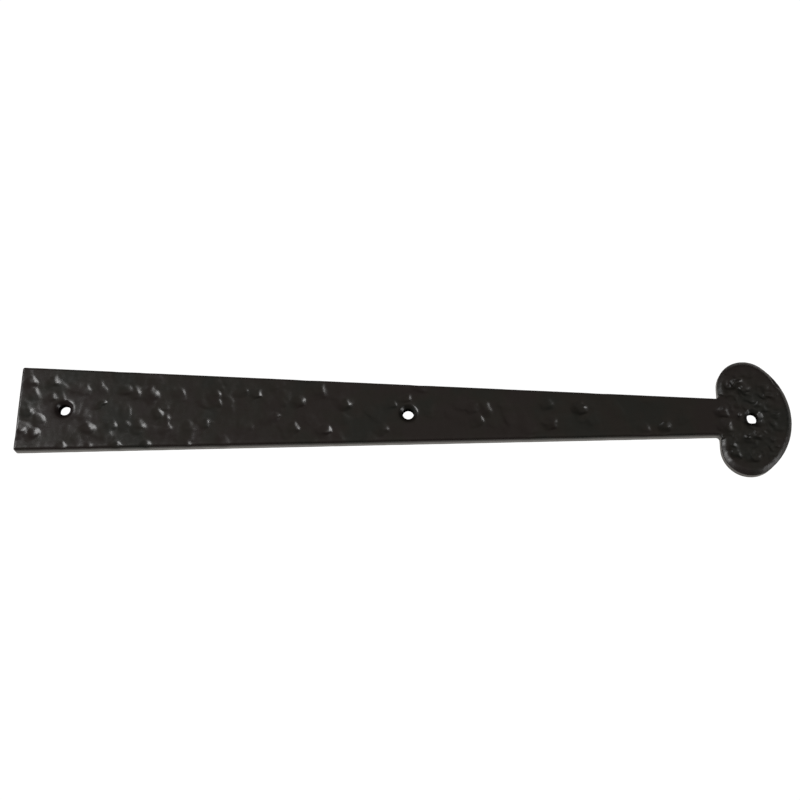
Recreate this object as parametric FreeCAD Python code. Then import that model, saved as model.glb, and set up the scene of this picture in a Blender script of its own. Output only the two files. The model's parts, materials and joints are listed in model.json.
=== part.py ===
"""A hinge front: the flat iron strap, square at one end and bean-shaped at the other, that is screwed to
the face of a door beside a plain butt hinge, so that the door seems to hang on a forged strap hinge.

The whole article is one iron casting. It has no knuckle, pin or leaf of its own, and nothing on it moves.

Frame, in millimetres: +X runs along the strap to the bean, +Y across it, and +Z out of the front face.
The flat back lies on Z = 0. The origin is the middle of the back's bounding rectangle.
"""

import FreeCAD
import Part

import math
import os

# Strap
LENGTH = 305.0  # over all, from the square butt end to the crown of the bean
THICKNESS = 4.6
BUTT_WIDTH = 35.0  # at the square end
NECK_WIDTH = 15.3  # where the strap runs into the bean
BUTT_CORNER_RADIUS = 1.0
NECK_FILLET_RADIUS = 1.3
STRAP_EDGE_RADIUS = 0.8  # softened front edge of the strap
BACK_EDGE_RADIUS = 0.4  # softened back edge, all the way round

# Bean
BEAN_HEIGHT = 47.4  # across the two lobes
BEAN_DEPTH = 28.5  # from the straight shoulder at the neck to the crown
LOBE_RADIUS = 11.1
BEVEL_WIDTH = 2.3  # of the bean's front bevel, seen from the front
BEVEL_DROP = 1.5  # how far that bevel falls towards the back
BEVEL_SOFTENING = 0.4  # radius along the bevel's lower edge

# Screw holes, for No. 8 wood screws
HOLE_COUNT = 3
HOLE_DIAMETER = 4.4
COUNTERSINK_DIAMETER = 7.4
COUNTERSINK_ANGLE = 90.0  # included, in degrees
FIRST_HOLE_FROM_BUTT = 18.2
LAST_HOLE_FROM_CROWN = 15.4

# Worked out from the above, with X measured from the butt end
SHOULDER_X = LENGTH - BEAN_DEPTH
COUNTERSINK_SLOPE = math.tan(math.radians(COUNTERSINK_ANGLE / 2))  # radius gained per unit of height
COUNTERSINK_DEPTH = (COUNTERSINK_DIAMETER - HOLE_DIAMETER) / 2 / COUNTERSINK_SLOPE
ORIGIN_X = LENGTH / 2
FRONT_Z = 0.0  # the outlines are drawn on the front face, at this height, and the casting is raised at the end

CUT_OVERRUN = 1.0  # how far a cutting tool runs past the face it opens
FLAT = 1e-4  # how far from a plane an edge may lie and still count as on it


def vec(x, y, z=0.0):
    return FreeCAD.Vector(x, y, z)


def mirrored(point):
    """The same point on the other side of the strap's centre line."""
    return vec(point.x, -point.y, point.z)


def arc(start, middle, end):
    return Part.Arc(start, middle, end).toShape()


def line(start, end):
    return Part.makeLine(start, end)


def on_circle(centre, radius, degrees):
    angle = math.radians(degrees)
    return centre + radius * vec(math.cos(angle), math.sin(angle))


def plate(edges):
    """The closed outline that the edges make, as a solid of the full thickness below the front face."""
    outline = Part.Wire(Part.__sortEdges__(edges))
    return Part.Face(outline).extrude(vec(0, 0, -THICKNESS))


def edges_on_plane(solid, z):
    """The solid's edges that lie wholly at that height."""
    return [e for e in solid.Edges if abs(e.BoundBox.ZMin - z) < FLAT and abs(e.BoundBox.ZMax - z) < FLAT]


def strap():
    """The tapered strap, flared by a fillet where it meets the bean, with its front edges softened."""
    slope = math.atan2((NECK_WIDTH - BUTT_WIDTH) / 2, SHOULDER_X)
    degrees = math.degrees(slope)
    outward = vec(-math.sin(slope), math.cos(slope))

    def edge_at(x):
        return vec(x, BUTT_WIDTH / 2 + x * math.tan(slope))

    # The butt corner, rounded between the square end and the long edge
    corner = BUTT_CORNER_RADIUS
    corner_centre_y = (edge_at(corner) - outward * corner / outward.y).y
    corner_centre = vec(corner, corner_centre_y)
    corner_start = on_circle(corner_centre, corner, 180)
    corner_middle = on_circle(corner_centre, corner, (180 + 90 + degrees) / 2)
    corner_end = corner_centre + outward * corner

    # The flare, rounded between the long edge and the bean's straight shoulder
    flare = NECK_FILLET_RADIUS
    flare_start = edge_at(SHOULDER_X - flare - outward.x * flare)
    flare_centre = flare_start + outward * flare
    flare_middle = on_circle(flare_centre, flare, (degrees - 90) / 2)
    flare_end = on_circle(flare_centre, flare, 0)

    # The root lies inside the bean and fills its bevel across the neck
    root = vec(SHOULDER_X + BEVEL_WIDTH + STRAP_EDGE_RADIUS, flare_end.y)

    upper = [(corner_end, flare_start), (flare_end, root)]
    edges = [line(a, b) for a, b in upper]
    edges += [line(mirrored(a), mirrored(b)) for a, b in upper]
    for points in ((corner_start, corner_middle, corner_end), (flare_start, flare_middle, flare_end)):
        edges.append(arc(*points))
        edges.append(arc(*[mirrored(p) for p in points]))
    edges.append(line(mirrored(corner_start), corner_start))
    edges.append(line(mirrored(root), root))
    solid = plate(edges)

    front = [e for e in edges_on_plane(solid, FRONT_Z) if e.BoundBox.XMin < root.x - FLAT]
    return solid.makeFillet(STRAP_EDGE_RADIUS, front)


def bean():
    """The bean: two lobes tangent to a straight shoulder and to the crown arc, bevelled at the front."""
    lobe_centre = vec(SHOULDER_X + LOBE_RADIUS, BEAN_HEIGHT / 2 - LOBE_RADIUS)
    reach = LENGTH - lobe_centre.x
    crown_radius = (reach**2 + lobe_centre.y**2 - LOBE_RADIUS**2) / (2 * (reach - LOBE_RADIUS))
    crown_centre = vec(LENGTH - crown_radius, 0)
    tangent = math.degrees(math.atan2(lobe_centre.y, lobe_centre.x - crown_centre.x))

    shoulder = on_circle(lobe_centre, LOBE_RADIUS, 180)
    lobe_middle = on_circle(lobe_centre, LOBE_RADIUS, (180 + tangent) / 2)
    lobe_end = on_circle(lobe_centre, LOBE_RADIUS, tangent)
    crown = on_circle(crown_centre, crown_radius, 0)

    edges = [
        line(mirrored(shoulder), shoulder),
        arc(shoulder, lobe_middle, lobe_end),
        arc(lobe_end, crown, mirrored(lobe_end)),
        arc(mirrored(lobe_end), mirrored(lobe_middle), mirrored(shoulder)),
    ]
    solid = plate(edges)
    bevelled = solid.makeChamfer(BEVEL_DROP, BEVEL_WIDTH, edges_on_plane(solid, FRONT_Z))
    return bevelled.makeFillet(BEVEL_SOFTENING, edges_on_plane(bevelled, FRONT_Z - BEVEL_DROP))


def hole_positions():
    """X of each screw hole from the butt end: evenly spaced between the first and the last."""
    last = LENGTH - LAST_HOLE_FROM_CROWN
    pitch = (last - FIRST_HOLE_FROM_BUTT) / (HOLE_COUNT - 1)
    return [FIRST_HOLE_FROM_BUTT + i * pitch for i in range(HOLE_COUNT)]


def screw_hole(x):
    """The tool that cuts one hole: a straight bore and a countersink that opens at the front face."""
    bore = Part.makeCylinder(
        HOLE_DIAMETER / 2,
        THICKNESS + 2 * CUT_OVERRUN,
        vec(x, 0, FRONT_Z - THICKNESS - CUT_OVERRUN),
    )
    sink = Part.makeCone(
        HOLE_DIAMETER / 2,
        COUNTERSINK_DIAMETER / 2 + CUT_OVERRUN * COUNTERSINK_SLOPE,
        COUNTERSINK_DEPTH + CUT_OVERRUN,
        vec(x, 0, FRONT_Z - COUNTERSINK_DEPTH),
    )
    return bore.fuse(sink)


def hinge_front():
    """The whole casting, with its origin at the middle of the back."""
    solid = bean().fuse(strap()).removeSplitter()
    solid = solid.makeFillet(BACK_EDGE_RADIUS, edges_on_plane(solid, FRONT_Z - THICKNESS))
    for x in hole_positions():
        solid = solid.cut(screw_hole(x))
    solid = solid.Solids[0]
    solid.translate(vec(-ORIGIN_X, 0, THICKNESS - FRONT_Z))
    return solid


def main():
    os.makedirs("parts", exist_ok=True)
    casting = hinge_front()
    casting.exportStep("parts/hinge_front.step")
    print("hinge_front: valid", casting.isValid(), "volume", round(casting.Volume, 1), "mm3")
    print("bore length", round(THICKNESS - COUNTERSINK_DEPTH, 3), "mm, holes at X", hole_positions())


main()
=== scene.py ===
"""The looks of the hinge front: one hammered iron casting under satin black paint, on a pale floor.

Everything is in metres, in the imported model's frame: +X runs along the strap to the bean, +Y across it
and +Z out of the hammered face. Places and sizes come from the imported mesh, its box and its mounts.
"""

import json
import math

import bmesh
import bpy
import numpy as np
from mathutils import Euler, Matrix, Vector
from mathutils.bvhtree import BVHTree
from mathutils.geometry import delaunay_2d_cdt
from mathutils.kdtree import KDTree


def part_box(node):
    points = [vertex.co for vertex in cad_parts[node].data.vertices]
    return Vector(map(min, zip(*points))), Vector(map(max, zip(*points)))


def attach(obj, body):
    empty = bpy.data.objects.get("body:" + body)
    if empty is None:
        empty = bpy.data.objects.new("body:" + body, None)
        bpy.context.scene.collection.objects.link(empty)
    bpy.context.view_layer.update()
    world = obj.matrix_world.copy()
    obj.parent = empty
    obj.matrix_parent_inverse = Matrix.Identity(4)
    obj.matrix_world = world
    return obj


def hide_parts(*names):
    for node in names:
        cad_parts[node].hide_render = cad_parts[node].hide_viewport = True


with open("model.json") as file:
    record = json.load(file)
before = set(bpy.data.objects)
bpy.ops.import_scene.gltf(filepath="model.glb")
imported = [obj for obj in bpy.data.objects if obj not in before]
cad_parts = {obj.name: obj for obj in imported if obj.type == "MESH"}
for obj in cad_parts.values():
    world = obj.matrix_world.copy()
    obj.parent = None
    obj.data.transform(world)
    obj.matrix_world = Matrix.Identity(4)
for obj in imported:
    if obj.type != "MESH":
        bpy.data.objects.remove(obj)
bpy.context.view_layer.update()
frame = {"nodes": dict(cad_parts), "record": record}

MM = 0.001
NODE = "hinge_front"
LOW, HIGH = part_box(NODE)
LENGTH = HIGH.x - LOW.x
CENTRE_X = (LOW.x + HIGH.x) / 2
BORES = [m for m in frame["record"]["mounts"] if m["kind"] == "bore"]

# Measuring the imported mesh
MERGE = 0.002 * MM  # vertices nearer than this are one
SHORT = 0.02 * MM  # outline edges shorter than this are dropped
STRAIGHT = 5 * MM  # an outline edge longer than this is a straight one
RAY_HEIGHT = 10 * MM  # above the front face, where the rays that measure it start
FLAT = 0.012 * MM  # how far below its highest level the flat face may lie
RIM_FLAT = 0.01 * MM  # the same for the vertices of a countersink's rim
EDGE_SEARCH = 4 * MM  # the front edge's bevel or round is never wider than this
EDGE_SEARCH_STEP = 0.1 * MM
HOLE_SEARCH = 3 * MM  # the countersink's rim lies within this of the bore's wall
BORDER_INSET = 0.08 * MM  # how far inside the outline its heights are measured
MOUTH_SCALE = 1.02  # and on what share of the bore's radius those of its mouth are

# Mesh
SPACING = 0.45 * MM  # between vertices on the front face
BACK_SPACING = 1.3 * MM
GRID_GAP = 0.30 * MM  # what the front's grid keeps clear of the rings
EDGE_STEPS = (0.03, 0.12, 0.27, 0.47, 0.72, 1.0)  # rings over the front edge, as shares of its width
EDGE_GAP = 0.22  # what those rings keep clear of other points, as a share of the spacing
HOLE_SPACING = 0.33 * MM  # between vertices round a bore
HOLE_RING_STEP = 0.25 * MM  # between rings over the countersink
OUTER_HOLE_RINGS = 2  # rings on the face just outside the countersink's rim
RING_GAP = 0.7  # what the hole's rings and the back's grid keep clear, as a share of their spacing
SIDE_ROWS = 7  # from the front edge down to the round of the back edge
BACK_ROUND = 0.4 * MM  # radius of the back edge
BACK_CORNER = 0.12 * MM  # inset and height of the middle of that round
INSIDE_ONLY = 1  # kind of triangulation that leaves out what lies outside the outline
JOIN_DISTANCE = 1e-7  # points nearer than this many millimetres are one in the triangulation

# As-cast softness
LOWER_SOFTNESS = 1.8 * MM  # radius of the strap's worn front edge along its lower side
EDGE_SOFTNESS = 0.9 * MM  # the same along its upper side and the butt end
LOWER_SIDE = 0.5  # the lower side is where the outline's inward normal has more than this of +Y
BEVEL_BULGE = 1.45  # power by which the bean's bevel is rounded; at 1 it is flat
RIM_SOFTNESS = 0.55 * MM  # how wide the countersink's rim is blended into the face

# Hammered face. A mark is a scallop: a short steep wall, and a floor that rises slowly away from it.
SEED = 7
SWELL = 0.06 * MM  # height of the slow unevenness
SWELL_LENGTHS = (14 * MM, 34 * MM)
SWELL_WAVES = 7
SKIN = 0.042 * MM  # height of the cast skin's unevenness
BEAN_SKIN = 0.11 * MM  # the same on the bean
SKIN_LENGTHS = (1.8 * MM, 4.2 * MM)
SKIN_WAVES = 24
WANDER = 0.45 * MM  # scale of how far the marks' outlines stray from true curves
WANDER_LENGTHS = (2.6 * MM, 7.0 * MM)
WANDER_WAVES = 9
WALL = (1.4 * MM, 2.5 * MM)  # width of a mark's wall
FLOOR = 5.0 * MM  # width of a mark's floor
BOW = 0.10  # how far the wall bends round the floor
MARK_REACH = 1.5  # a mark fades out along its wall at this many times its reach
MARK_FADE = 1.5  # power of that fading
STEEPEST = 1.5  # the steepest slope of smooth_step
FAINT_MARKS = {  # all over the strap
    "count": 190,
    "spread": 0.8,  # the share of the part's width that their centres lie on
    "reach": (1.8 * MM, 4.2 * MM),
    "slope": (0.04, 0.17),
    "wall": WALL,
    "floor": FLOOR,
}
PEBBLES = {  # small steep dents on the bean
    "count": 200,
    "spread": 0.75,
    "reach": (0.8 * MM, 1.9 * MM),
    "slope": (0.12, 0.50),
    "wall": (0.7 * MM, 1.3 * MM),
    "floor": 1.6 * MM,
}
PEBBLE_MARGINS = (3 * MM, 5 * MM)  # what they keep clear of the shoulder and of the bean's far end

# Unevenness of the side walls and the back
SIDE_ROUGHNESS = 0.10 * MM
SIDE_LENGTHS = (3 * MM, 11 * MM)
BACK_ROUGHNESS = 0.06 * MM
BACK_LENGTHS = (4 * MM, 18 * MM)
ROUGH_WAVES = 9

# The deep marks, listed one by one: mm from the butt end, mm above the centre line, reach to each side
# along the wall in mm, the wall's slope, and the direction that it faces in degrees from +X
DEEP_MARKS = (
    (5.5, 12.0, 1.9, 0.32, 222),
    (7.5, 7.0, 2.2, 0.22, 212),
    (5.5, -0.6, 2.0, 0.30, 228),
    (9.5, -3.2, 2.4, 0.32, 235),
    (2.8, -8.6, 2.2, 0.34, 225),
    (8.5, -9.2, 1.7, 0.34, 230),
    (14.5, 12.0, 1.8, 0.26, 215),
    (14.5, 5.2, 1.4, 0.30, 212),
    (19.5, -14.2, 1.4, 0.34, 238),
    (30.0, -14.4, 1.2, 0.22, 235),
    (29.5, -6.8, 2.1, 0.36, 230),
    (34.0, 3.2, 0.9, 0.34, 225),
    (33.5, 9.5, 2.4, 0.22, 205),
    (28.0, 9.0, 1.6, 0.19, 215),
    (39.0, -6.0, 1.6, 0.19, 215),
    (41.0, -14.2, 1.4, 0.34, 235),
    (43.5, 9.0, 1.8, 0.24, 215),
    (47.5, 8.0, 2.2, 0.24, 208),
    (54.0, 7.6, 2.4, 0.34, 225),
    (52.5, -13.8, 1.6, 0.36, 235),
    (56.5, -0.5, 1.8, 0.34, 226),
    (59.5, -2.6, 1.6, 0.32, 235),
    (50.0, -6.0, 2.4, 0.29, 212),
    (44.5, -6.0, 1.6, 0.23, 215),
    (60.5, -6.6, 1.4, 0.24, 225),
    (65.0, 8.0, 2.6, 0.24, 215),
    (69.5, -6.0, 2.4, 0.26, 235),
    (68.5, -13.2, 1.3, 0.30, 232),
    (79.0, 7.2, 1.8, 0.38, 208),
    (80.0, 4.0, 1.8, 0.30, 200),
    (76.0, -4.5, 1.4, 0.24, 220),
    (90.0, 8.5, 1.4, 0.24, 205),
    (95.5, 7.5, 1.4, 0.36, 208),
    (103.0, -1.5, 1.2, 0.32, 215),
    (110.5, -6.0, 1.9, 0.47, 215),
    (112.5, 4.8, 1.8, 0.39, 205),
    (121.0, 9.0, 2.4, 0.31, 192),
    (123.0, -7.0, 1.5, 0.48, 205),
    (131.0, 4.0, 1.8, 0.38, 212),
    (145.5, -6.2, 1.8, 0.38, 208),
    (149.0, 4.0, 1.2, 0.35, 205),
    (154.5, 6.2, 1.2, 0.34, 200),
    (181.0, 2.5, 2.2, 0.37, 196),
    (186.0, 2.5, 2.6, 0.38, 198),
    (183.0, -2.0, 2.2, 0.38, 198),
    (210.5, 5.0, 1.8, 0.41, 202),
    (212.0, -3.0, 1.8, 0.41, 202),
    (223.5, 3.5, 2.0, 0.50, 206),
    (248.5, -5.0, 2.0, 0.50, 196),
    (256.5, -4.0, 1.8, 0.48, 205),
    (279.5, 3.0, 1.6, 0.60, 204),
    (280.5, -3.5, 2.0, 0.56, 196),
    (283.5, 13.0, 1.4, 0.60, 198),
    (286.0, 15.0, 1.3, 0.62, 200),
    (289.0, 12.5, 1.2, 0.58, 196),
    (281.5, -10.5, 1.8, 0.58, 198),
    (283.0, -14.5, 1.3, 0.58, 202),
    (292.3, -7.0, 1.3, 0.70, 200),
    (294.8, 4.5, 1.6, 0.54, 196),
    (291.0, -16.0, 1.2, 0.56, 198),
)

# Paint
PAINT_COLOURS = (  # along the slow drift
    (0.36, (0.0084, 0.0093, 0.0079)),
    (0.48, (0.0112, 0.0097, 0.0079)),
    (0.60, (0.0122, 0.0088, 0.0085)),
)
DRIFT_SIZE = 14 * MM
PATCH_SIZE = 3.2 * MM
PATCH_RANGE = (0.25, 0.75)  # the noise of the patches at the ends of the roughness below
ROUGHNESS = (0.25, 0.35)
BEAN_DULLNESS = 0.10  # how much rougher the paint is on the bean
DULL_FROM = 6 * MM  # the paint turns duller between this far before the shoulder
DULL_TO = 2 * MM  # and this far past it
PIT_SIZE = 0.8 * MM
PIT_STRENGTH = 0.25
PIT_DEPTH = 0.04 * MM

# Camera, aimed at the front face
LENS = 58.5  # mm
SENSOR = 36  # mm
ELEVATION = 69.81  # degrees above the plane of the part
AZIMUTH = 0.567  # degrees from -Y towards +X
ROLL = 0.145  # degrees
DISTANCE = 1.683 * LENGTH
AIM = Vector((CENTRE_X - 0.0063 * LENGTH, 0.0172 * LENGTH, HIGH.z))
NEAREST = 10 * MM  # that the camera sees

# Light, with places and sizes in metres
KEY = {"position": (-0.72, -0.01, 0.75), "aim": (0, 0, 0), "size": (0.60, 0.34), "radiance": 11.5}
FILL = {"position": (0.84, -0.30, 0.33), "aim": (0.1, 0, 0), "size": (0.36, 0.36), "radiance": 4.5}
WHITE = (1, 1, 1)
FLOOR_REACH = 6 * LENGTH
FLOOR_DROP = 0.3 * MM  # of the white floor below the back
FLOOR_WHITE = 1.05
GLOW_DROP = 0.2 * MM
FLOOR_GLOW = 0.9
GLOW_COLOUR = (1.0, 0.96, 0.90)
# Black sheets below the screw holes, unseen by the camera: painted shade, so that the bore walls mirror
# black instead of the glowing floor
PAINTED_SHADE_DROP = 0.1 * MM
PAINTED_SHADE_MARGIN = 1 * MM  # how far the black sheet of painted shade below a screw hole reaches past it
PAINTED_SHADE_SIDES = 32
SKY = (  # colour by the sine of the height above the horizon
    (0.0, (0.035, 0.032, 0.030)),
    (0.45, (0.060, 0.055, 0.050)),
    (0.80, (0.200, 0.180, 0.158)),
    (0.95, (0.305, 0.274, 0.240)),
)


def packed_mesh():
    """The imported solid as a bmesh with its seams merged, for measuring."""
    mesh = bmesh.new()
    mesh.from_mesh(frame["nodes"][NODE].data)
    bmesh.ops.remove_doubles(mesh, verts=mesh.verts, dist=MERGE)
    return mesh


def section_loops(mesh, height):
    """The closed loops in which a level plane cuts the solid, the outline first."""
    cut = mesh.copy()
    everything = cut.verts[:] + cut.edges[:] + cut.faces[:]
    found = bmesh.ops.bisect_plane(
        cut,
        geom=everything,
        plane_co=(0, 0, height),
        plane_no=(0, 0, 1),
        clear_inner=True,
        clear_outer=True,
    )
    edges = [e for e in found["geom_cut"] if isinstance(e, bmesh.types.BMEdge)]
    neighbours = {}
    for edge in edges:
        a, b = edge.verts
        neighbours.setdefault(a, []).append(b)
        neighbours.setdefault(b, []).append(a)
    loops = []
    left = set(neighbours)
    while left:
        start = min(left, key=lambda v: (round(v.co.x, 7), round(v.co.y, 7)))
        loop, previous, current = [], None, start
        while current is not None:
            loop.append(current)
            left.discard(current)
            onward = [v for v in neighbours[current] if v is not previous and v in left]
            previous, current = current, (onward[0] if onward else None)
        loops.append(np.array([v.co.xy for v in loop]))
    cut.free()
    return sorted(loops, key=lambda p: -np.ptp(p[:, 0]))


def counter_clockwise(points):
    x, y = points.T
    area = np.sum(x * np.roll(y, -1) - np.roll(x, -1) * y)
    return points if area > 0 else points[::-1]


def smooth_loop(points, spacing):
    """A closed curve through the points, with arcs where they turn and straight runs kept straight."""
    points = counter_clockwise(points)
    gap = np.linalg.norm(points - np.roll(points, 1, 0), axis=1)
    points = points[gap > SHORT]
    edge = np.roll(points, -1, 0) - points
    length = np.linalg.norm(edge, axis=1)
    heading = edge / length[:, None]
    before, after = np.roll(length, 1), length
    tangent = np.roll(heading, 1, 0) * after[:, None] + heading * before[:, None]
    tangent[after > STRAIGHT] = heading[after > STRAIGHT]
    arriving = before > STRAIGHT
    tangent[arriving] = np.roll(heading, 1, 0)[arriving]
    tangent /= np.linalg.norm(tangent, axis=1)[:, None]
    out = []
    for i in range(len(points)):
        j = (i + 1) % len(points)
        steps = math.ceil(length[i] / spacing)
        t = (np.arange(steps) / steps)[:, None]
        out.append(
            (2 * t**3 - 3 * t**2 + 1) * points[i]
            + (t**3 - 2 * t**2 + t) * length[i] * tangent[i]
            + (3 * t**2 - 2 * t**3) * points[j]
            + (t**3 - t**2) * length[i] * tangent[j]
        )
    return np.concatenate(out)


def inward_normals(points):
    """Unit normals that point into the material of a counter-clockwise outline."""
    along = np.roll(points, -1, 0) - np.roll(points, 1, 0)
    along /= np.linalg.norm(along, axis=1)[:, None]
    return np.column_stack([-along[:, 1], along[:, 0]])


def front_heights(tree, points):
    """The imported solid's height under each point, and nan where a point lies off the material."""
    heights = np.full(len(points), np.nan)
    above = HIGH.z + RAY_HEIGHT
    down = Vector((0, 0, -1))
    for i, (x, y) in enumerate(points):
        hit = tree.ray_cast(Vector((x, y, above)), down)[0]
        if hit is not None:
            heights[i] = hit.z
    return heights


def edge_widths(tree, outline, normals):
    """How far the bevel or the round of the front edge reaches inwards at each point of the outline."""
    widths = np.full(len(outline), EDGE_SEARCH)
    for distance in np.arange(EDGE_SEARCH, 0, -EDGE_SEARCH_STEP):
        heights = front_heights(tree, outline + normals * distance)
        flat = heights > HIGH.z - FLAT
        widths[flat] = distance
    return widths


def soft_edge(points, outline, inward, softness):
    """The height of a front edge that is rounded with the softness given at each point of the outline."""
    tree = KDTree(len(outline))
    for i, (x, y) in enumerate(outline):
        tree.insert((x, y, 0), i)
    tree.balance()
    nearest = np.array([tree.find((x, y, 0))[1] for x, y in points])
    inside = np.sum((points - outline[nearest]) * inward[nearest], axis=1)
    radius = softness[nearest]
    short = np.clip(radius - inside, 0, radius)
    return HIGH.z - (radius - np.sqrt(radius**2 - short**2))


def soft_rim(points, centre, rim_radius):
    """The height of a countersink whose rim is blended into the face."""
    inside = rim_radius - np.linalg.norm(points - centre, axis=1)
    return HIGH.z - (inside + np.sqrt(inside**2 + RIM_SOFTNESS**2)) / 2


def bulged_bevel(points, heights, shoulder, border, centres, rim_radius):
    """The heights with the bean's bevel rounded. The first points, up to the border, are the outline."""
    drop = np.maximum(HIGH.z - heights, 0)
    on_bean = points[:, 0] > shoulder
    for centre in centres:
        on_bean &= np.linalg.norm(points - centre, axis=1) > rim_radius
    deepest = drop[:border][on_bean[:border]].max()
    bulged = heights.copy()
    bulged[on_bean] = HIGH.z - deepest * (drop[on_bean] / deepest) ** BEVEL_BULGE
    return bulged


def circle(centre, radius, count):
    angles = np.arange(count) / count * 2 * math.pi
    return np.array(centre) + radius * np.column_stack([np.cos(angles), np.sin(angles)])


def hex_grid(spacing):
    """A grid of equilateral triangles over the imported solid's box."""
    columns = np.arange(LOW.x, HIGH.x, spacing)
    rows = np.arange(LOW.y, HIGH.y, spacing * math.sqrt(3) / 2)
    x, y = np.meshgrid(columns, rows)
    x[1::2] += spacing / 2
    return np.column_stack([x.ravel(), y.ravel()])


def spread(kept, candidates, gap):
    """The kept points and, ring by ring, the candidates that lie a gap or more from all kept so far."""
    for ring in candidates:
        tree = KDTree(len(kept))
        for i, (x, y) in enumerate(kept):
            tree.insert((x, y, 0), i)
        tree.balance()
        clear = [tree.find((x, y, 0))[2] >= gap for x, y in ring]
        kept = np.concatenate([kept, ring[np.array(clear, bool)]])
    return kept


def triangles(points, loops):
    """The triangles between the points. The first loop bounds them, and each other loop bounds a hole."""
    edges = []
    hole = np.full(len(points), -1)
    start = 0
    for i, count in enumerate(loops):
        edges += [(start + k, start + (k + 1) % count) for k in range(count)]
        hole[start : start + count] = i - 1
        start += count
    scaled = [Vector((x, y)) / MM for x, y in points]
    result = delaunay_2d_cdt(scaled, edges, [], INSIDE_ONLY, JOIN_DISTANCE)
    source = [group[0] for group in result[3]]
    faces = np.array([[source[i] for i in face] for face in result[2]])
    holes = hole[faces]
    in_hole = (holes[:, 0] >= 0) & (holes == holes[:, :1]).all(1)
    return faces[~in_hole]


def waves(points, rng, lengths, count):
    """Smooth seeded unevenness between -1 and 1 over points in two or three dimensions."""
    total = np.zeros(len(points))
    for _ in range(count):
        heading = rng.normal(size=points.shape[1])
        heading /= np.linalg.norm(heading)
        turns = points @ heading / rng.uniform(*lengths) + rng.uniform()
        total += np.sin(2 * math.pi * turns)
    return total / count


def smooth_step(x):
    x = np.clip(x, 0, 1)
    return x * x * (3 - 2 * x)


def mark_depth(points, centre, reach, slope, wall, heading, floor):
    """How deep one mark lies at each point. Its wall is at the centre and faces the heading."""
    facing = np.array([math.cos(math.radians(heading)), math.sin(math.radians(heading))])
    along = np.array([-facing[1], facing[0]])
    depth = np.zeros(len(points))
    offset = points - centre
    near = np.flatnonzero((np.abs(offset) < MARK_REACH * reach + wall + floor).all(1))
    u = offset[near] @ facing
    v = offset[near] @ along
    u = u - BOW * v**2 / reach
    window = np.clip(1 - (v / (MARK_REACH * reach)) ** 2, 0, 1) ** MARK_FADE
    fall = smooth_step(u / wall + 0.5)
    rise = 1 - smooth_step((u - wall / 2) / floor)
    depth[near] = slope * wall / STEEPEST * fall * rise * window
    return depth


def random_marks(rng, ends, count, spread, reach, slope, wall, floor):
    """Marks with random places between those ends in X, as values for mark_depth."""
    marks = []
    for _ in range(count):
        centre = (rng.uniform(*ends), rng.uniform(LOW.y, HIGH.y) * spread)
        sizes = [rng.uniform(*limits) for limits in (reach, slope, wall)]
        marks.append((centre, *sizes, rng.uniform(0, 360), floor))
    return marks


def placed_marks(rng):
    """The deep marks, as values for mark_depth."""
    marks = []
    for from_butt, height, reach, slope, heading in DEEP_MARKS:
        centre = (LOW.x + from_butt * MM, height * MM)
        marks.append((centre, reach * MM, slope, rng.uniform(*WALL), heading, FLOOR))
    return marks


def hammer_depth(points, rng, shoulder):
    """How deep the hammered face lies below its highest level."""
    depth = SWELL * (1 + waves(points, rng, SWELL_LENGTHS, SWELL_WAVES)) / 2
    skin = np.where(points[:, 0] > shoulder, BEAN_SKIN, SKIN)
    depth += skin * (1 + waves(points, rng, SKIN_LENGTHS, SKIN_WAVES))
    stray = [waves(points, rng, WANDER_LENGTHS, WANDER_WAVES) * 2 for _ in range(2)]
    points = points + WANDER * np.column_stack(stray)
    marks = random_marks(rng, (LOW.x, shoulder), **FAINT_MARKS)
    bean_ends = (shoulder + PEBBLE_MARGINS[0], HIGH.x - PEBBLE_MARGINS[1])
    marks += random_marks(rng, bean_ends, **PEBBLES)
    marks += placed_marks(rng)
    for mark in marks:
        depth += mark_depth(points, *mark)
    return depth


def rim_of(packed, centre, bore_radius):
    """The radius of the countersink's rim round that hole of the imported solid."""
    points = np.array([v.co for v in packed.verts])
    top = points[points[:, 2] > HIGH.z - RIM_FLAT][:, :2]
    from_hole = np.linalg.norm(top - centre, axis=1)
    return from_hole[from_hole < bore_radius + HOLE_SEARCH].max()


def probed_heights(tree, front, inward, mouths, centres):
    """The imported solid's heights under the front's points, whose borders are measured on the material."""
    probe = front.copy()
    start = len(inward)
    probe[:start] += inward * BORDER_INSET
    for mouth, centre in zip(mouths, centres):
        probe[start : start + len(mouth)] = centre + (mouth - centre) * MOUTH_SCALE
        start += len(mouth)
    return front_heights(tree, probe)


def bridge(upper, lower):
    """Quads, as triangles, between two closed rows of vertex numbers, the upper one first."""
    next_upper, next_lower = np.roll(upper, -1), np.roll(lower, -1)
    left = np.column_stack([upper, lower, next_lower])
    right = np.column_stack([upper, next_lower, next_upper])
    return np.concatenate([left, right])


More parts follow.
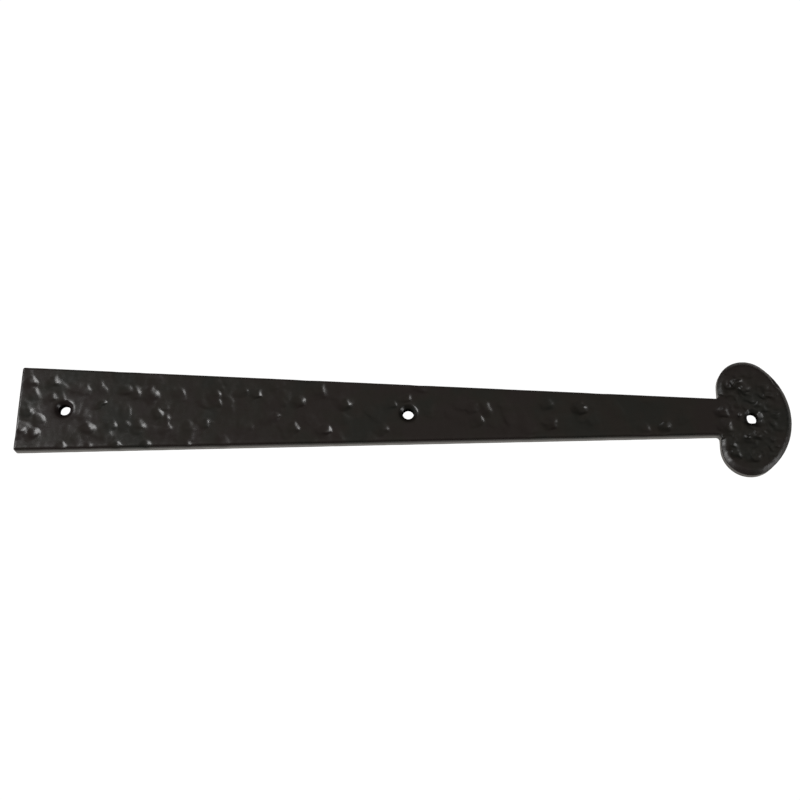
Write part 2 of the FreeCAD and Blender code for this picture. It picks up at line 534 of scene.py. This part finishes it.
def hammered_casting():
    """The visual casting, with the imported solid's outline, bevel and holes, and with a hammered front.

    It is returned as vertices and triangles, with the X of the shoulder where the bean starts.
    """
    rng = np.random.default_rng(SEED)
    packed = packed_mesh()
    tree = BVHTree.FromBMesh(packed)
    outline = smooth_loop(section_loops(packed, (LOW.z + HIGH.z) / 2)[0], SPACING)
    border = len(outline)
    inward = inward_normals(outline)
    widths = edge_widths(tree, outline, inward)
    softness = np.where(inward[:, 1] > LOWER_SIDE, LOWER_SOFTNESS, EDGE_SOFTNESS)
    softness[widths > LOWER_SOFTNESS] = 0  # the bean's edge has its bevel instead
    shoulder = outline[softness == 0, 0].min()
    widths = np.maximum(widths, softness)

    # Front: the outline, the bores' mouths, rings over the edges, and a grid between them
    bore_radius = BORES[0]["dims"]["r_mm"] * MM
    hole_count = round(2 * math.pi * bore_radius / HOLE_SPACING)
    centres = [np.array(bore["pos_m"][:2]) for bore in BORES]
    mouths = [circle(c, bore_radius, hole_count) for c in centres]
    rim_radius = rim_of(packed, centres[0], bore_radius)
    packed.free()
    steps = round((rim_radius - bore_radius) / HOLE_RING_STEP)
    hole_rings = []
    for step in range(1, steps + OUTER_HOLE_RINGS + 1):
        radius = bore_radius + (rim_radius - bore_radius) * step / steps
        hole_rings += [circle(c, radius, round(hole_count * radius / bore_radius)) for c in centres]
    edge_rings = [outline + inward * (widths * share)[:, None] for share in EDGE_STEPS]
    grid = hex_grid(SPACING)
    grid = grid[~np.isnan(front_heights(tree, grid))]
    front = spread(np.concatenate([outline] + mouths), hole_rings, HOLE_RING_STEP * RING_GAP)
    front = spread(front, edge_rings, SPACING * EDGE_GAP)
    front = spread(front, [grid], GRID_GAP)
    loops = [border] + [hole_count] * len(centres)
    heights = probed_heights(tree, front, inward, mouths, centres)
    heights = bulged_bevel(front, heights, shoulder, border, centres, rim_radius)
    heights = np.minimum(heights, soft_edge(front, outline, inward, softness))
    for centre in centres:
        heights = np.minimum(heights, soft_rim(front, centre, rim_radius))
    heights = heights - hammer_depth(front, rng, shoulder)
    verts = [np.column_stack([front, heights])]
    faces = [triangles(front, loops)]
    count = len(front)

    # Side wall, in rows from the front edge down over the rounded back edge. One seed serves every row, so
    # the unevenness runs on from row to row.
    wall_seed = rng.integers(1 << 30)
    top, bottom = heights[:border], LOW.z + BACK_ROUND
    rows = [(outline, top + (bottom - top) * row / SIDE_ROWS) for row in range(1, SIDE_ROWS)]
    rows += [(outline, bottom), (outline + inward * BACK_CORNER, LOW.z + BACK_CORNER)]
    ring = np.arange(border)
    for points, row_heights in rows:
        row = np.column_stack([points, np.broadcast_to(row_heights, border)])
        rough = (1 + waves(row, np.random.default_rng(wall_seed), SIDE_LENGTHS, ROUGH_WAVES)) / 2
        row[:, :2] += inward * (rough * SIDE_ROUGHNESS)[:, None]
        verts.append(row)
        lower = count + np.arange(border)
        faces.append(bridge(ring, lower))
        ring = lower
        count += border

    # Back: a coarse sheet between the rounded edge and the bores
    grid = hex_grid(BACK_SPACING)
    grid = grid[~np.isnan(front_heights(tree, grid))]
    back = np.concatenate([outline + inward * BACK_ROUND] + mouths)
    back = spread(back, [grid], BACK_SPACING * RING_GAP)
    lift = BACK_ROUGHNESS * (1 + waves(back, rng, BACK_LENGTHS, ROUGH_WAVES)) / 2
    lift[: sum(loops)] = 0
    verts.append(np.column_stack([back, LOW.z + lift]))
    faces.append(triangles(back, loops)[:, ::-1] + count)
    faces.append(bridge(ring, count + np.arange(border)))

    # Bore walls
    for i in range(len(centres)):
        mouth = border + i * hole_count + np.arange(hole_count)
        faces.append(bridge(mouth, count + mouth))
    verts = np.clip(np.concatenate(verts), np.array(LOW), np.array(HIGH))
    return verts, np.concatenate(faces), shoulder


def mesh_object(name, verts, faces):
    """A smooth-shaded object of those triangles, with their normals turned outwards."""
    mesh = bpy.data.meshes.new(name)
    mesh.from_pydata(verts.tolist(), [], faces.tolist())
    work = bmesh.new()
    work.from_mesh(mesh)
    bmesh.ops.recalc_face_normals(work, faces=work.faces)
    work.to_mesh(mesh)
    work.free()
    mesh.polygons.foreach_set("use_smooth", [True] * len(mesh.polygons))
    mesh.update()
    obj = bpy.data.objects.new(name, mesh)
    bpy.context.scene.collection.objects.link(obj)
    return obj


def node(tree, kind, **inputs):
    """A new shader node with constant inputs, which are named with _ for a space."""
    made = tree.nodes.new(kind)
    for key, value in inputs.items():
        made.inputs[key.replace("_", " ")].default_value = value
    return made


def noise(tree, coordinates, size, detail=3.0, roughness=0.5):
    """A noise texture whose features are about that many metres across."""
    made = node(tree, "ShaderNodeTexNoise", Scale=1 / size, Detail=detail, Roughness=roughness)
    tree.links.new(coordinates, made.inputs["Vector"])
    return made.outputs["Fac"]


def ramp(tree, value, stops):
    """The colour at that value between the stops, each of which is a position and a colour."""
    made = tree.nodes.new("ShaderNodeValToRGB")
    elements = made.color_ramp.elements
    while len(elements) < len(stops):
        elements.new(0.5)
    for element, (position, colour) in zip(elements, stops):
        element.position = position
        element.color = (*colour, 1)
    tree.links.new(value, made.inputs["Fac"])
    return made.outputs["Color"]


def map_range(tree, value, source, result):
    """The value, moved from the source range to the result range."""
    made = node(
        tree,
        "ShaderNodeMapRange",
        From_Min=source[0],
        From_Max=source[1],
        To_Min=result[0],
        To_Max=result[1],
    )
    tree.links.new(value, made.inputs["Value"])
    return made.outputs["Result"]


def black_iron(shoulder):
    """Satin black paint over a casting: near-black with slow warm and cool drifts and fine pitting."""
    material = bpy.data.materials.new("black_iron")
    material.use_nodes = True
    tree = material.node_tree
    tree.nodes.clear()
    output = tree.nodes.new("ShaderNodeOutputMaterial")
    paint = tree.nodes.new("ShaderNodeBsdfPrincipled")
    tree.links.new(paint.outputs["BSDF"], output.inputs["Surface"])
    where = tree.nodes.new("ShaderNodeTexCoord").outputs["Object"]

    drift = noise(tree, where, DRIFT_SIZE, detail=2.0)
    tree.links.new(ramp(tree, drift, PAINT_COLOURS), paint.inputs["Base Color"])

    # Roughness: uneven patches, and duller on the bean
    patches = noise(tree, where, PATCH_SIZE, detail=4.0, roughness=0.6)
    split = tree.nodes.new("ShaderNodeSeparateXYZ")
    tree.links.new(where, split.inputs["Vector"])
    dull_ends = (shoulder - DULL_FROM, shoulder + DULL_TO)
    total = tree.nodes.new("ShaderNodeMath")
    tree.links.new(map_range(tree, patches, PATCH_RANGE, ROUGHNESS), total.inputs[0])
    tree.links.new(map_range(tree, split.outputs["X"], dull_ends, (0.0, BEAN_DULLNESS)), total.inputs[1])
    tree.links.new(total.outputs["Value"], paint.inputs["Roughness"])

    pits = noise(tree, where, PIT_SIZE, detail=3.0, roughness=0.6)
    bump = node(tree, "ShaderNodeBump", Strength=PIT_STRENGTH, Distance=PIT_DEPTH)
    tree.links.new(pits, bump.inputs["Height"])
    tree.links.new(bump.outputs["Normal"], paint.inputs["Normal"])
    return material


def emission(name, colour, strength):
    """A material that only glows."""
    material = bpy.data.materials.new(name)
    material.use_nodes = True
    tree = material.node_tree
    tree.nodes.clear()
    output = tree.nodes.new("ShaderNodeOutputMaterial")
    glow = node(tree, "ShaderNodeEmission", Color=(*colour, 1), Strength=strength)
    tree.links.new(glow.outputs["Emission"], output.inputs["Surface"])
    return material


def level_sheet(name, outline, drop, material):
    """A flat sheet with that outline, that far below the casting's back. It is part of the studio."""
    mesh = bpy.data.meshes.new(name)
    mesh.from_pydata([(x, y, LOW.z - drop) for x, y in outline], [], [tuple(range(len(outline)))])
    mesh.materials.append(material)
    sheet = bpy.data.objects.new(name, mesh)
    bpy.context.scene.collection.objects.link(sheet)
    return sheet


def light_table():
    """The floor: a white sheet for the camera, one that lights the sides, and black sheets below the holes,
    unseen by the camera, that paint shade into the bores.
    """
    square = [(x * FLOOR_REACH, y * FLOOR_REACH) for x, y in ((-1, -1), (1, -1), (1, 1), (-1, 1))]
    floor = level_sheet("floor", square, FLOOR_DROP, emission("floor_white", WHITE, FLOOR_WHITE))
    floor.visible_diffuse = False
    floor.visible_glossy = False
    glow = level_sheet("floor_glow", square, GLOW_DROP, emission("floor_glow", GLOW_COLOUR, FLOOR_GLOW))
    glow.visible_camera = False
    # Painted shade: black sheets below the holes stand in for the floor that the casting shades, so the
    # bore walls show dark
    dark = emission("floor_painted_shade", (0, 0, 0), 0.0)
    for bore in BORES:
        disc = circle(bore["pos_m"][:2], bore["dims"]["r_mm"] * MM + PAINTED_SHADE_MARGIN, PAINTED_SHADE_SIDES)
        level_sheet("painted_shade_" + bore["name"], disc.tolist(), PAINTED_SHADE_DROP, dark).visible_camera = False


def area_light(name, position, aim, size, radiance):
    """A white rectangular light of that radiance. Its first size is the level one."""
    data = bpy.data.lights.new(name, "AREA")
    data.shape = "RECTANGLE"
    data.size, data.size_y = size
    data.energy = radiance * math.pi * size[0] * size[1]
    light = bpy.data.objects.new(name, data)
    light.location = position
    light.rotation_euler = (Vector(aim) - Vector(position)).to_track_quat("-Z", "Y").to_euler()
    bpy.context.scene.collection.objects.link(light)


def lights():
    """The two lamps, and a room that is dark at the horizon and white to the camera."""
    area_light("key", **KEY)
    area_light("fill", **FILL)
    world = bpy.data.worlds.new("studio")
    bpy.context.scene.world = world
    world.use_nodes = True
    tree = world.node_tree
    tree.nodes.clear()
    output = tree.nodes.new("ShaderNodeOutputWorld")
    direction = tree.nodes.new("ShaderNodeTexCoord").outputs["Generated"]
    split = tree.nodes.new("ShaderNodeSeparateXYZ")
    tree.links.new(direction, split.inputs["Vector"])
    room = tree.nodes.new("ShaderNodeBackground")
    tree.links.new(ramp(tree, split.outputs["Z"], SKY), room.inputs["Color"])
    sweep = node(tree, "ShaderNodeBackground", Color=(*WHITE, 1))
    mix = tree.nodes.new("ShaderNodeMixShader")
    path = tree.nodes.new("ShaderNodeLightPath")
    tree.links.new(path.outputs["Is Camera Ray"], mix.inputs["Fac"])
    tree.links.new(room.outputs["Background"], mix.inputs[1])
    tree.links.new(sweep.outputs["Background"], mix.inputs[2])
    tree.links.new(mix.outputs["Shader"], output.inputs["Surface"])


def camera():
    data = bpy.data.cameras.new("camera")
    data.lens = LENS
    data.sensor_width = SENSOR
    data.clip_start = NEAREST
    view = bpy.data.objects.new("camera", data)
    elevation, azimuth = math.radians(ELEVATION), math.radians(AZIMUTH)
    level = math.cos(elevation)
    away = Vector((math.sin(azimuth) * level, -math.cos(azimuth) * level, math.sin(elevation)))
    view.location = AIM + away * DISTANCE
    turn = (-away).to_track_quat("-Z", "Y").to_matrix() @ Euler((0, 0, math.radians(ROLL))).to_matrix()
    view.rotation_euler = turn.to_euler()
    bpy.context.scene.collection.objects.link(view)
    bpy.context.scene.camera = view


def build():
    verts, faces, shoulder = hammered_casting()
    casting = mesh_object("hammered_casting", verts, faces)
    casting.data.materials.append(black_iron(shoulder))
    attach(casting, "root")
    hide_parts(NODE)
    light_table()
    lights()
    camera()
    bpy.context.scene.view_settings.view_transform = "Standard"


build()
